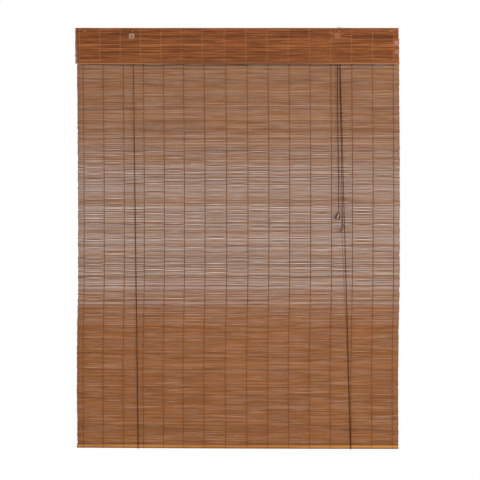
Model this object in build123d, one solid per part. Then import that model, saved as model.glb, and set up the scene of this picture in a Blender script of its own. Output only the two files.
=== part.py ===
from build123d import *
import math
import os

# Roll up blind of split bamboo, fully let down. Millimetres, +Z up, the room is on the -Y side.
# The origin lies on the wall plane, midway between the two fixing holes and at their height.

# Fixing holes, which run through plate, valance and head rail
hole_spacing = 765.0
hole_radius = 2.5
hole_ease = 0.5
blind_offset = 11.5

# Width, which rail, valance, mat and bar share, each a little shorter than the widest
blind_width = 1192.0
rail_shortfall = 8.0
valance_shortfall = 4.0
bar_shortfall = 3.0

# Head rail
rail_depth = 26.0
rail_height = 48.0
rail_top = 32.7
rebate_depth = 8.0
rebate_height = 11.0
rail_edge_radius = 1.0

# Reeds, as in the mat and in both layers of the valance
reed_pitch = 10.0
reed_thickness = 2.6
reed_flat = 7.6
valley_depth = 0.8

# Mat
mat_bottom = -1509.4
mat_clearance = 0.3
gap_height = 1.4
gap_band_top = -520.0
gap_rows = 40
gap_web = 2.4

# Threads
thread_count = 16
thread_width = 1.2
thread_thickness = 0.5
mat_thread_margins = (20.0, 21.5)
valance_thread_margins = (5.5, 18.5)

# Valance
valance_top = 33.7
valance_foot = -90.0
valance_reed_thickness = 2.4
layer_gap = 0.2
rear_layer_shift = -8.0
lath_height = 10.0
lath_radius = 0.8

# Fixing plates and nails
plate_width = 21.5
plate_height = 20.0
plate_thickness = 1.2
plate_rise = 3.0
plate_shift_left = -1.0
plate_shift_right = -3.0
plate_corner = 1.0
plate_clearance = 0.3
nail_radius = 0.8
nail_head_radius = 1.6
nail_head_thickness = 0.8
nail_length = 18.0
nail_height = 21.9
nail_ease = 0.3
outer_nail_insets = (24.5, 28.5)
inner_nail_shifts = (1.5, 3.5)

# Bottom bar
bar_shift = -2.0
bar_height = 15.0
bar_thickness = 5.0
bar_gap = 0.8
bar_edge_radius = 2.2
binding_thickness = 0.4

# Cords
cord_radius = 1.2
cord_clearance = 0.3
left_bar_shift = 23.1
right_bar_shift = 45.5
left_anchor_shift = -1.0
right_anchor_shift = -15.7
bend_share = 0.45

# Wheels
wheel_pitch_radius = 6.0
wheel_flange_radius = 8.0
sheave_pitch_radius = 4.5
sheave_flange_radius = 6.5
wheel_width = 4.8
wheel_side_gap = 0.2
pin_radius = 1.5
running_clearance = 0.05
flange_gap = 1.0
flange_edge = 0.45
root_share = 0.67
guide_shift = 10.8
pin_head_thickness = 0.6
pin_head_overhang = 0.9

# Bent metal frames
web_thickness = 1.5
cheek_thickness = 1.2
cheek_width = 16.0
frame_rear_y = -11.0
bend_radius = 0.9
ear_length = 9.0
ear_setback = 3.0
ear_corner = 2.0
strap_width = 15.0
strap_thickness = 1.2
strap_rise = 3.6
strap_play = 0.3
strap_corner = 3.0
strap_nail_shift = -1.0
lip_thickness = 0.9
screw_radius = 1.5
screw_head_radius = 2.8
screw_head_thickness = 1.7
screw_length = 13.0
screw_offset = 13.0
screw_y = -15.0
screw_ease = 0.1
screw_countersink = 0.8
foot_flat = 1.5
guide_foot_rise = 2.0

# Lock cam
cam_pin_radius = 1.25
cam_pin_drop = 12.7
cam_boss_radius = 2.7
cam_length = 13.0
cam_half_width = 1.9
cam_tooth_depth = 0.5
cam_tooth_start = 2.0
cam_tip_half_width = 0.8
cam_teeth = 5

# Staples
staple_wire = 1.0
staple_crown = 10.0
staple_leg = 9.0
staple_rise = 1.0
cord_staple_crown = 5.0

# Bell pulls
bell_height = 28.5
bell_radius = 10.5
bell_neck_radius = 3.6
bell_neck_height = 2.8
bell_belly_share = 0.62
bell_lip = 1.6
bell_bore_radius = 1.7
bell_cup_radius = 5.0
bell_cup_depth = 6.0
knot_radius = 3.0
knot_cheek_share = 0.7
short_bell_shift = 1.3
short_bell_y = -22.0
short_bell_z = -646.5
long_bell_shift = 15.4
long_bell_y = -29.0
long_bell_z = -692.8
short_bell_tilt = 12.0

# Worked out from the sizes above
half_spacing = hole_spacing / 2
mat_width = blind_width
rail_length = blind_width - rail_shortfall
valance_width = blind_width - valance_shortfall
bar_length = blind_width - bar_shortfall
valance_left = blind_offset - valance_width / 2
valance_right = blind_offset + valance_width / 2
thread_bays = thread_count - 1
mat_thread_first = blind_offset - mat_width / 2 + mat_thread_margins[0]
mat_thread_pitch = (mat_width - sum(mat_thread_margins)) / thread_bays
valance_thread_first = valance_left + valance_thread_margins[0]
valance_thread_pitch = (valance_width - sum(valance_thread_margins)) / thread_bays
nail_places = [
    valance_left + outer_nail_insets[0],
    -half_spacing + inner_nail_shifts[0],
    half_spacing + inner_nail_shifts[1],
    valance_right - outer_nail_insets[1],
]
left_bar_x = -half_spacing + left_bar_shift
right_bar_x = half_spacing + right_bar_shift
left_anchor_x = -half_spacing + left_anchor_shift
right_anchor_x = half_spacing + right_anchor_shift
guide_x = -half_spacing + guide_shift
rail_bottom = rail_top - rail_height
ledge = rail_bottom + rebate_height
mat_front = -rebate_depth
mat_back = mat_front + reed_thickness
mat_middle = (mat_front + mat_back) / 2
mat_top = ledge - mat_clearance
rear_layer_back = -rail_depth
rear_layer_front = rear_layer_back - valance_reed_thickness
front_layer_back = rear_layer_front - layer_gap
front_layer_front = front_layer_back - valance_reed_thickness
bar_top = mat_bottom - bar_gap
bar_bottom = bar_top - bar_height
bar_front = mat_middle - bar_thickness / 2
bar_back = mat_middle + bar_thickness / 2
loop_bottom = bar_bottom - cord_radius - cord_clearance
loop_rear_y = bar_back + cord_radius + cord_clearance
loop_front_y = bar_front - cord_radius - cord_clearance
rear_wheel_y = frame_rear_y - cheek_thickness - wheel_side_gap - wheel_width / 2
front_wheel_y = rear_wheel_y - wheel_width - 2 * wheel_side_gap
frame_front_y = front_wheel_y - wheel_width / 2 - wheel_side_gap - cheek_thickness
sheave_z = rail_bottom - web_thickness - flange_gap - sheave_flange_radius
head_run_z = sheave_z + sheave_pitch_radius
wheel_z = head_run_z - wheel_pitch_radius
lock_x = half_spacing
cam_z = sheave_z - cam_pin_drop
frame_foot = cam_z - cam_length - cam_boss_radius
strap_x = nail_places[2] + strap_nail_shift
short_bell_top = (lock_x + short_bell_shift, short_bell_y, short_bell_z)
long_bell_top = (lock_x + long_bell_shift, long_bell_y, long_bell_z)


def box_between(x0, x1, y0, y1, z0, z1):
    centre = Pos((x0 + x1) / 2, (y0 + y1) / 2, (z0 + z1) / 2)
    return centre * Box(abs(x1 - x0), abs(y1 - y0), abs(z1 - z0))


def hole_through(x, z, radius, y0, y1):
    return Pos(x, (y0 + y1) / 2, z) * Rot(90, 0, 0) * Cylinder(radius, abs(y1 - y0))


def both_holes(radius, y0, y1):
    return [hole_through(side * half_spacing, 0, radius, y0, y1) for side in (-1, 1)]


# Head rail: a planed batten with a rebate for the mat behind its foot and a housing for the lock's strap
def head_rail():
    outline = Polyline(
        (0, ledge),
        (0, rail_top),
        (-rail_depth, rail_top),
        (-rail_depth, rail_bottom),
        (-rebate_depth, rail_bottom),
        (-rebate_depth, ledge),
        close=True,
    )
    section = fillet(make_face(outline).vertices().sort_by(Axis.X)[0:2], rail_edge_radius)
    rail = extrude(Plane.YZ * section, rail_length)
    rail = Pos(blind_offset - rail_length / 2, 0, 0) * rail
    half_housing = strap_width / 2 + strap_play
    housing_floor = -rail_depth + strap_thickness + strap_play
    rail -= box_between(
        strap_x - half_housing, strap_x + half_housing,
        -rail_depth - 1, housing_floor, rail_bottom - 1, rail_top + 1,
    )
    return rail - both_holes(hole_radius, 1, -rail_depth - 1)


# A wall of split reeds: a flat crest on the front of each, a ridge behind, and a valley between neighbours
def reed_wall(width, middle_x, top, bottom, back, front, flat_share):
    reeds = round((top - bottom) / reed_pitch)
    pitch = (top - bottom) / reeds
    shoulder = pitch * (1 - flat_share) / 2
    back_side = []
    front_side = []
    for n in range(reeds):
        z = top - n * pitch
        back_side += [(back - valley_depth, z), (back, z - pitch / 2)]
        front_side += [(front + valley_depth, z), (front, z - shoulder), (front, z - pitch + shoulder)]
    back_side.append((back - valley_depth, bottom))
    front_side.append((front + valley_depth, bottom))
    section = make_face(Polyline(*back_side, *reversed(front_side), close=True))
    wall = extrude(Plane.YZ * section, width)
    return Pos(middle_x - width / 2, 0, 0) * wall


# Mat: in the middle of its drop the reeds stand apart from the first thread to the last, and light comes through
def mat_gaps(pitch):
    first_row = round((mat_top - gap_band_top) / pitch)
    x0 = mat_thread_first + gap_web
    x1 = mat_thread_first + thread_bays * mat_thread_pitch - gap_web
    gaps = []
    for row in range(first_row, first_row + gap_rows):
        z = mat_top - row * pitch
        gaps.append(box_between(
            x0, x1, mat_back + 1, mat_front - 1, z - gap_height / 2, z + gap_height / 2,
        ))
    return gaps


def reed_mat():
    mat = reed_wall(
        mat_width, blind_offset, mat_top, mat_bottom, mat_back, mat_front, reed_flat / reed_pitch,
    )
    mat_reeds = round((mat_top - mat_bottom) / reed_pitch)
    return mat - mat_gaps((mat_top - mat_bottom) / mat_reeds)


def thread_rows(first, pitch, y0, y1, z0, z1):
    half = thread_width / 2
    places = [first + n * pitch for n in range(thread_count)]
    return [box_between(x - half, x + half, y0, y1, z0, z1) for x in places]


def warp_threads():
    rows = thread_rows(
        mat_thread_first, mat_thread_pitch,
        mat_front - thread_thickness, mat_front, mat_bottom, mat_top - rebate_height,
    )
    rows += thread_rows(
        mat_thread_first, mat_thread_pitch,
        mat_back, mat_back + thread_thickness, mat_bottom, mat_top,
    )
    return Compound(rows)


def valance_layer(shift, back, front):
    layer = reed_wall(
        valance_width, blind_offset + shift, valance_top, valance_foot, back, front,
        reed_flat / reed_pitch,
    )
    return layer - both_holes(hole_radius + hole_ease, back + 1, front - 1)


# A thread that would run under a fixing plate stops at its edges
def valance_threads():
    blanks = [
        plate_blank(-half_spacing + plate_shift_left, plate_clearance),
        plate_blank(half_spacing + plate_shift_right, plate_clearance),
    ]
    rows = thread_rows(
        valance_thread_first, valance_thread_pitch,
        front_layer_front - thread_thickness, front_layer_front,
        valance_foot - lath_height, valance_top,
    )
    return Compound([row - blanks for row in rows])


def valance_lath():
    lath = box_between(
        valance_left, valance_right,
        rear_layer_back, front_layer_front, valance_foot - lath_height, valance_foot,
    )
    return fillet(lath.edges().filter_by(Axis.X).group_by(Axis.Y)[-1], lath_radius)


def valance_nails():
    nails = []
    for x in nail_places:
        head_back = front_layer_front
        half = nail_radius * math.sqrt(0.5)
        shank = box_between(
            x - half, x + half, head_back, head_back + nail_length, nail_height - half, nail_height + half,
        )
        head = hole_through(
            x, nail_height, nail_head_radius, head_back, head_back - nail_head_thickness,
        )
        nails.append(shank + head)
    return Compound(nails)


def plate_blank(middle_x, ease):
    half_width = plate_width / 2 + ease
    half_height = plate_height / 2 + ease
    return box_between(
        middle_x - half_width, middle_x + half_width,
        front_layer_front - plate_thickness, front_layer_front,
        plate_rise - half_height, plate_rise + half_height,
    )


def fixing_plate(hole_x, shift):
    plate = plate_blank(hole_x + shift, 0)
    plate = chamfer(plate.edges().filter_by(Axis.Y), plate_corner)
    return plate - hole_through(
        hole_x, 0, hole_radius, front_layer_front + 1, front_layer_front - plate_thickness - 1,
    )


# Bottom bar: a planed bamboo lath that hangs in the ends of the threads
def bottom_bar():
    middle = blind_offset + bar_shift
    bar = box_between(
        middle - bar_length / 2, middle + bar_length / 2, bar_front, bar_back, bar_bottom, bar_top,
    )
    return fillet(bar.edges().filter_by(Axis.X), bar_edge_radius)


def bar_bindings():
    half = thread_width / 2
    thick = binding_thickness
    bindings = []
    for n in range(thread_count):
        x = mat_thread_first + n * mat_thread_pitch
        around = box_between(
            x - half, x + half, bar_front - thick, bar_back + thick, bar_bottom - thick, bar_top + thick,
        )
        bindings.append(around - box_between(x - 1, x + 1, bar_front, bar_back, bar_bottom, bar_top))
    return Compound(bindings)


# Wheels turn about Y. The groove leaves the cord its clearance all round.
def grooved_wheel(pitch_radius, flange_radius, x, y, z):
    groove_radius = cord_radius + cord_clearance
    bore_radius = pin_radius + running_clearance
    root = pitch_radius - groove_radius
    half = wheel_width / 2
    root_half = groove_radius * root_share
    rim = Polyline(
        (bore_radius, -half),
        (flange_radius, -half),
        (flange_radius, flange_edge - half),
        (root, -root_half),
        (root, root_half),
        (flange_radius, half - flange_edge),
        (flange_radius, half),
        (bore_radius, half),
        close=True,
    )
    wheel = revolve(make_face(rim), Axis.Y)
    return Pos(x, y, z) * wheel


def wheel_pin(radius, x, z, rear, front):
    pin = hole_through(x, z, radius, rear, front)
    return pin + hole_through(x, z, radius + pin_head_overhang, front, front - pin_head_thickness)


# A frame is sheet bent to an upside down U, with an ear each side for the screws into the rail
def bent_frame(x, rear, front, foot, holes):
    top = rail_bottom
    outside = box_between(0, cheek_width, rear, front, foot, top)
    outside = fillet(outside.edges().filter_by(Axis.X).group_by(Axis.Z)[-1], bend_radius)
    inside = box_between(
        -1, cheek_width + 1, rear - cheek_thickness, front + cheek_thickness,
        foot - 1, top - web_thickness,
    )
    frame = Pos(x - cheek_width / 2, 0, 0) * (outside - inside)
    foot_corners = frame.edges().filter_by(Axis.Y).group_by(Axis.Z)[0]
    frame = fillet(foot_corners, cheek_width / 2 - foot_flat)
    ears = box_between(
        x - cheek_width / 2 - ear_length, x + cheek_width / 2 + ear_length,
        frame_rear_y - bend_radius, front + bend_radius + ear_setback, top - web_thickness, top,
    )
    frame += chamfer(ears.edges().filter_by(Axis.Z), ear_corner)
    for side in (-1, 1):
        frame -= Pos(x + side * screw_offset, screw_y, top) * Cylinder(
            screw_radius + screw_ease, 3 * web_thickness,
        )
    for radius, z in holes:
        frame -= hole_through(x, z, radius, rear + 1, front - 1)
    return frame


def frame_screws(x):
    under = rail_bottom - web_thickness
    screws = []
    for side in (-1, 1):
        shank = Pos(0, 0, screw_length / 2) * Cylinder(screw_radius, screw_length)
        head = Pos(0, 0, -screw_head_thickness / 2) * Cylinder(screw_head_radius, screw_head_thickness)
        head = chamfer(head.edges().group_by(Axis.Z)[0], screw_countersink)
        screws.append(Pos(x + side * screw_offset, screw_y, under) * (shank + head))
    return Compound(screws)


def guide_frame():
    guide_rear = front_wheel_y + wheel_width / 2 + wheel_side_gap + cheek_thickness
    foot = wheel_z - cheek_width / 2 + guide_foot_rise
    return bent_frame(guide_x, guide_rear, frame_front_y, foot, [(pin_radius, wheel_z)])


def lock_frame():
    holes = [(pin_radius, sheave_z), (cam_pin_radius, cam_z)]
    frame = bent_frame(lock_x, frame_rear_y, frame_front_y, frame_foot, holes)
    # the lips that the cam jams a cord against
    lip_inside = cheek_width / 2 - lip_thickness
    for side in (-1, 1):
        frame += box_between(
            lock_x + side * lip_inside, lock_x + side * (lip_inside + lip_thickness),
            frame_rear_y - cheek_thickness, frame_front_y + cheek_thickness + 1,
            cam_z - cam_length, cam_z,
        )
    # the strap, up the front of the rail and past its top
    strap_front = -rail_depth
    strap_back = strap_front + strap_thickness
    half = strap_width / 2
    strap = box_between(
        strap_x - half, strap_x + half, strap_front, strap_back,
        rail_bottom - web_thickness, valance_top + strap_rise,
    )
    strap = fillet(strap.edges().filter_by(Axis.Y).group_by(Axis.Z)[-1], strap_corner)
    neck = box_between(
        strap_x - half, strap_x + half, frame_front_y + bend_radius + 1, strap_back - 0.1,
        rail_bottom - web_thickness, rail_bottom,
    )
    frame += strap + neck
    frame -= hole_through(half_spacing, 0, hole_radius + hole_ease, strap_back + 1, strap_front - 1)
    nail_hole = nail_radius + nail_ease
    return frame - hole_through(nail_places[2], nail_height, nail_hole, strap_back + 1, strap_front - 1)


# Lock cam: hangs between the two pull cords, toothed on both flanks
def lock_cam():
    step = (cam_length - 1.5 * cam_tooth_start) / cam_teeth
    flank = []
    for n in range(cam_teeth):
        z = -cam_tooth_start - n * step
        flank += [(cam_half_width - cam_tooth_depth, z), (cam_half_width, z - step)]
    right = flank + [(cam_tip_half_width, -cam_length)]
    left = [(-x, z) for x, z in reversed(right)]
    blade = make_face(Polyline(*right, *left, close=True)) + Circle(cam_boss_radius)
    blade -= Circle(cam_pin_radius + running_clearance)
    width = 2 * wheel_width
    cam = extrude(Plane.XZ * blade, width / 2, both=True)
    return Pos(lock_x, (rear_wheel_y + front_wheel_y) / 2, cam_z) * cam


def staple(x, z, crown, back):
    half = crown / 2
    bar = box_between(x - half, x + half, back, back + staple_wire, z - staple_wire / 2, z + staple_wire / 2)
    legs = [
        box_between(
            x + side * half, x + side * (half - staple_wire), back, back - staple_leg,
            z - staple_wire / 2, z + staple_wire / 2,
        )
        for side in (-1, 1)
    ]
    return bar + legs


def mat_staples():
    z = mat_top - rebate_height / 2 + staple_rise
    bays = range(0, thread_bays, 2)
    places = [mat_thread_first + (n + 0.5) * mat_thread_pitch for n in bays]
    return Compound([staple(x, z, staple_crown, mat_back) for x in places])


def cord_staples():
    z = mat_top - 2 * staple_wire
    back = loop_rear_y + cord_radius
    return Compound([staple(x, z, cord_staple_crown, back) for x in (left_anchor_x, right_anchor_x)])


# Cords: round tubes along the real route
def tube(path):
    start = Plane(origin=path @ 0, z_dir=path % 0)
    return sweep(start * Circle(cord_radius), path=path)


def report_cord(name, path, solid, radii):
    section = math.pi * cord_radius**2
    print(f"{name}: length {path.length:.1f}, radii {radii}, volume ratio {solid.volume / section / path.length:.5f}")


def cord_loop(name, anchor_x, bar_x, top):
    points = [
        (anchor_x, loop_rear_y, mat_top - cord_clearance),
        (bar_x, loop_rear_y, loop_bottom),
        (bar_x, loop_front_y, loop_bottom),
        top,
    ]
    bend = bend_share * (loop_rear_y - loop_front_y)
    path = FilletPolyline(*points, radius=[bend, bend])
    solid = tube(path)
    report_cord(name, path, solid, [round(bend, 2)] * 2)
    return solid


def left_cord_loop():
    top = (guide_x - wheel_pitch_radius, front_wheel_y, wheel_z)
    return cord_loop("left_cord_loop", left_anchor_x, left_bar_x, top)


def right_cord_loop():
    top = (lock_x + sheave_pitch_radius, rear_wheel_y, sheave_z)
    return cord_loop("right_cord_loop", right_anchor_x, right_bar_x, top)


def quarter(x, y, z, radius, side):
    lean = radius * math.sqrt(0.5)
    return ThreePointArc((x + side * radius, y, z), (x + side * lean, y, z + lean), (x, y, z + radius))


def left_head_run():
    up = quarter(guide_x, front_wheel_y, wheel_z, wheel_pitch_radius, -1)
    down = quarter(lock_x, front_wheel_y, sheave_z, sheave_pitch_radius, 1)
    along = Line(up @ 1, down @ 1)
    path = Wire([up, along, down])
    solid = tube(path)
    report_cord("left_head_run", path, solid, [wheel_pitch_radius, sheave_pitch_radius])
    return solid


def right_head_turn():
    rise = quarter(lock_x, rear_wheel_y, sheave_z, sheave_pitch_radius, 1)
    fall = quarter(lock_x, rear_wheel_y, sheave_z, sheave_pitch_radius, -1)
    path = Wire([rise, fall])
    solid = tube(path)
    report_cord("right_head_turn", path, solid, [sheave_pitch_radius])
    return solid


def pull_cord(name, top, bell_top):
    low = Vector(*bell_top) + Vector(0, 0, cord_clearance)
    path = Line(top, low)
    solid = tube(path)
    report_cord(name, path, solid, [])
    return solid


def left_pull_cord():
    top = (lock_x + sheave_pitch_radius, front_wheel_y, sheave_z)
    return pull_cord("left_pull_cord", top, long_bell_top)


def right_pull_cord():
    top = (lock_x - sheave_pitch_radius, rear_wheel_y, sheave_z)
    return pull_cord("right_pull_cord", top, short_bell_top)


# Bell pull: a turned bell with a bore for the cord and a cup for its knot, hung from the top of its neck
def bell(place, tilt):
    rim = -bell_height + bell_lip
    cup_floor = -bell_height + bell_cup_depth
    belly_radius = bell_neck_radius + bell_belly_share * (bell_radius - bell_neck_radius)
    neck_foot = (bell_neck_radius, -bell_neck_height)
    outline = [
        Polyline((bell_bore_radius, cup_floor), (bell_bore_radius, 0), (bell_neck_radius, 0), neck_foot),
        ThreePointArc(neck_foot, (belly_radius, (rim - bell_neck_height) / 2), (bell_radius, rim)),
        Polyline(
            (bell_radius, rim), (bell_radius - bell_lip / 2, -bell_height), (bell_cup_radius, -bell_height),
            (bell_cup_radius, cup_floor), (bell_bore_radius, cup_floor),
        ),
    ]
    turned = revolve(Plane.XZ * make_face(outline), Axis.Z)
    return Pos(*place) * Rot(0, tilt, 0) * turned


def bell_knot(place, tilt):
    seat = -bell_height + bell_cup_depth
    end = Pos(0, 0, seat / 2) * Cylinder(cord_radius, -seat)
    cheek = knot_radius * knot_cheek_share
    barrel = Polyline(
        (0, seat), (cheek, seat), (knot_radius, seat - 1.5 * cheek), (0, seat - 3 * cheek), close=True,
    )
    knot = revolve(Plane.XZ * make_face(barrel), Axis.Z)
    return Pos(*place) * Rot(0, tilt, 0) * (end + knot)


pieces = {
    "head_rail": head_rail(),
    "reed_mat": reed_mat(),
    "warp_threads": warp_threads(),
    "mat_staples": mat_staples(),
    "cord_staples": cord_staples(),
    "valance_rear_layer": valance_layer(rear_layer_shift, rear_layer_back, rear_layer_front),
    "valance_front_layer": valance_layer(0, front_layer_back, front_layer_front),
    "valance_threads": valance_threads(),
    "valance_lath": valance_lath(),
    "valance_nails": valance_nails(),
    "fixing_plate_left": fixing_plate(-half_spacing, plate_shift_left),
    "fixing_plate_right": fixing_plate(half_spacing, plate_shift_right),
    "guide_frame": guide_frame(),
    "guide_screws": frame_screws(guide_x),
    "guide_pin": wheel_pin(pin_radius, guide_x, wheel_z, front_wheel_y + wheel_width / 2 + wheel_side_gap
                           + cheek_thickness, frame_front_y),
    "guide_wheel": grooved_wheel(
        wheel_pitch_radius, wheel_flange_radius, guide_x, front_wheel_y, wheel_z),
    "lock_frame": lock_frame(),
    "lock_screws": frame_screws(lock_x),
    "sheave_pin": wheel_pin(pin_radius, lock_x, sheave_z, frame_rear_y, frame_front_y),
    "front_sheave": grooved_wheel(
        sheave_pitch_radius, sheave_flange_radius, lock_x, front_wheel_y, sheave_z),
    "rear_sheave": grooved_wheel(
        sheave_pitch_radius, sheave_flange_radius, lock_x, rear_wheel_y, sheave_z),
    "cam_pin": wheel_pin(cam_pin_radius, lock_x, cam_z, frame_rear_y, frame_front_y),
    "lock_cam": lock_cam(),
    "left_cord_loop": left_cord_loop(),
    "right_cord_loop": right_cord_loop(),
    "left_head_run": left_head_run(),
    "right_head_turn": right_head_turn(),
    "left_pull_cord": left_pull_cord(),
    "right_pull_cord": right_pull_cord(),
    "bottom_bar": bottom_bar(),
    "bar_bindings": bar_bindings(),
    "left_pull_bell": bell(long_bell_top, 0),
    "left_pull_knot": bell_knot(long_bell_top, 0),
    "right_pull_bell": bell(short_bell_top, short_bell_tilt),
    "right_pull_knot": bell_knot(short_bell_top, short_bell_tilt),
}

os.makedirs("parts", exist_ok=True)
for name, piece in pieces.items():
    export_step(piece, f"parts/{name}.step")
print(len(pieces), "pieces written")
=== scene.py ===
# %% [markdown]
# Bamboo roll up blind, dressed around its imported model.
# The real thing is a mat of thin split reeds that sixteen rows of thread hold together. It hangs from a wooden
# head rail behind a double reed valance, and two cords that pass under its bottom bar roll it up.
# Everything here is in metres, in the model's own frame: +Z is up and the room is on the -Y side.

import math

import bmesh
import bpy
from mathutils import Matrix, Vector


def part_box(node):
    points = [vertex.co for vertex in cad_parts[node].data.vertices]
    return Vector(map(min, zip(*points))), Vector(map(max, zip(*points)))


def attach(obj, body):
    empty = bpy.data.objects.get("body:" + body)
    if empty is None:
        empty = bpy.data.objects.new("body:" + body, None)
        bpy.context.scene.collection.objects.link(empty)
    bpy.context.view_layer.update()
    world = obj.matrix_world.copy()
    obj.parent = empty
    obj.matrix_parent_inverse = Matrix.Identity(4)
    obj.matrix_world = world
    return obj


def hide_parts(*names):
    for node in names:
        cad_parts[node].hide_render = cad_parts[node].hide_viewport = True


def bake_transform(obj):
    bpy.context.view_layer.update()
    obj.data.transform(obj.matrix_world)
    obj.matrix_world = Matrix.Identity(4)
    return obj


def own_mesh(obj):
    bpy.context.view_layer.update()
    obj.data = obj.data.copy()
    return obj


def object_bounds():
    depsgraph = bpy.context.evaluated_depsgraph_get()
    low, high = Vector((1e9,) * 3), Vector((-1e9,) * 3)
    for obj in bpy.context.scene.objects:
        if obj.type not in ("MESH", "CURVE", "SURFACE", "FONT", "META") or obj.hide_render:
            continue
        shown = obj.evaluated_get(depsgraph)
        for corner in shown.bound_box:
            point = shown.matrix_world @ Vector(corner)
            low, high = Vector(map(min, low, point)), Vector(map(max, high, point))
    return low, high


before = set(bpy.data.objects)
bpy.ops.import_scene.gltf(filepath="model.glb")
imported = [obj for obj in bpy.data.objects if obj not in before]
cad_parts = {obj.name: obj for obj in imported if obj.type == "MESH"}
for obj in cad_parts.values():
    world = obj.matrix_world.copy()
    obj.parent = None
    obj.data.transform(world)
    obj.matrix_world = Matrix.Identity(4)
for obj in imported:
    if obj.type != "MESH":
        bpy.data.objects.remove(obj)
cad_low, cad_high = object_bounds()
print("CAD box:", [round(v, 4) for v in (*cad_low, *cad_high)])

# %% [markdown]
# The photograph is square, taken square on from far away with a long lens, so that the blind has next to no
# perspective. The camera stands sixteen metres off, level, and its lens is worked out from the width that the
# photograph takes in at the blind's own depth.

# %% Camera
plane_width = 1.779
camera_distance = 16.0
blind_depth = 0.02
camera_x = 0.018
camera_z = -0.752
sensor_width = 36.0


def new_object(name, data):
    made = bpy.data.objects.new(name, data)
    bpy.context.scene.collection.objects.link(made)
    return made


camera_data = bpy.data.cameras.new("camera")
camera_data.sensor_width = sensor_width
camera_data.lens = sensor_width * (camera_distance - blind_depth) / plane_width
camera = new_object("camera", camera_data)
camera.location = (camera_x, -camera_distance, camera_z)
camera.rotation_euler = (math.pi / 2, 0, 0)
bpy.context.scene.camera = camera
bpy.context.scene.view_settings.view_transform = "Standard"
print("lens", round(camera_data.lens, 1), "mm")

# %% [markdown]
# Shader and geometry trees are graphs of small nodes, which two classes write: one wraps a socket, on which
# Python's operators add Math nodes, and one adds any other node from its type, its settings and its sockets.


# %% Sockets that can be added and multiplied
def operator(operation):
    """The method for a Python operator, and its reflected form, for when the number comes first."""
    def plain(self, other):
        return self.math(operation, other)

    def reflected(self, other):
        return self.maker.node("ShaderNodeMath", {"operation": operation}, {0: other, 1: self})

    return plain, reflected


class Socket:
    def __init__(self, maker, socket):
        self.maker = maker
        self.socket = socket

    def math(self, operation, *others):
        values = dict(enumerate((self, *others)))
        return self.maker.node("ShaderNodeMath", {"operation": operation}, values)

    def other(self, name):
        return Socket(self.maker, self.socket.node.outputs[name])

    __add__, __radd__ = operator("ADD")
    __sub__, __rsub__ = operator("SUBTRACT")
    __mul__, __rmul__ = operator("MULTIPLY")
    __truediv__, __rtruediv__ = operator("DIVIDE")
    __pow__, __rpow__ = operator("POWER")
    __mod__, __rmod__ = operator("FLOORED_MODULO")
    __gt__, __lt__ = operator("GREATER_THAN")[0], operator("LESS_THAN")[0]


# %% One method for every other node
class Maker:
    def __init__(self, tree):
        self.tree = tree

    def node(self, kind, settings=None, sockets=None, out=0):
        made = self.tree.nodes.new(kind)
        for name, value in (settings or {}).items():
            if name == "stops":
                self.set_stops(made.color_ramp, value)
            else:
                setattr(made, name, value)
        for name, value in (sockets or {}).items():
            if isinstance(value, Socket):
                self.tree.links.new(value.socket, made.inputs[name])
            else:
                made.inputs[name].default_value = value
        return Socket(self, made.outputs[out]) if len(made.outputs) else None

    def set_stops(self, ramp, stops):
        while len(ramp.elements) < len(stops):
            ramp.elements.new(1.0)
        for element, (place, colour) in zip(ramp.elements, stops):
            element.position = place
            element.color = colour

    def parts(self, vector):
        x = self.node("ShaderNodeSeparateXYZ", None, {0: vector})
        return x, x.other("Y"), x.other("Z")

    def vector(self, x, y, z):
        return self.node("ShaderNodeCombineXYZ", None, {0: x, 1: y, 2: z})

    def noise(self, place, detail=2.0, roughness=0.5):
        return self.node("ShaderNodeTexNoise", None, {
            "Vector": place, "Scale": 1.0, "Detail": detail, "Roughness": roughness,
        })

    def chance(self, x, y=0.0, seed=0.0):
        return self.node("ShaderNodeTexWhiteNoise", None, {"Vector": self.vector(x, y, seed)})

    def own_place(self):
        return self.node("ShaderNodeTexCoord", None, None, "Object")

    def carried(self, name):
        return self.node("ShaderNodeAttribute", {"attribute_name": name}, None, "Fac")

    def ramp(self, value, low, high, to_low=0.0, to_high=1.0, kind="SMOOTHSTEP"):
        return self.node(
            "ShaderNodeMapRange", {"interpolation_type": kind},
            {0: value, 1: low, 2: high, 3: to_low, 4: to_high},
        )


def cleared(owner):
    owner.use_nodes = True
    owner.node_tree.nodes.clear()
    return Maker(owner.node_tree)


# %% [markdown]
# The product photograph has a pure white ground that the light doesn't touch. So the world is white for the
# camera and for reflections, and only a mild grey for the light that falls on the blind. The floor is pale and
# nearly all white too, with what is left of the blind's shadow on it. It lies low enough for the bells, which come
# down by twice the blind's own rise.

# %% World
ambient = 0.55

world = bpy.data.worlds.new("studio")
bpy.context.scene.world = world
maker = cleared(world)
rays = maker.node("ShaderNodeLightPath")  # its first output is Is Camera Ray
seen = rays.math("MAXIMUM", rays.other("Is Glossy Ray")).math("MAXIMUM", rays.other("Is Transmission Ray"))
strength = seen + (1.0 - seen) * ambient
background = maker.node("ShaderNodeBackground", None, {"Color": (1, 1, 1, 1), "Strength": strength})
maker.node("ShaderNodeOutputWorld", None, {"Surface": background})
print("light from all round:", ambient)

# %% Floor
floor_height = -3.56
floor_half = 9.0
floor_white_share = 0.75
floor_fade = 1.9, 2.6
floor_grey = (0.9, 0.9, 0.9, 1)


def mesh_object(name, grid):
    mesh = bpy.data.meshes.new(name)
    grid.to_mesh(mesh)
    grid.free()
    return new_object(name, mesh)


def new_material(name):
    print("material", name)
    material = bpy.data.materials.new(name)
    return material, cleared(material)


grid = bmesh.new()
bmesh.ops.create_grid(grid, x_segments=8, y_segments=8, size=floor_half)
bmesh.ops.translate(grid, verts=grid.verts, vec=(0, 0, floor_height))
floor = mesh_object("floor", grid)

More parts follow.
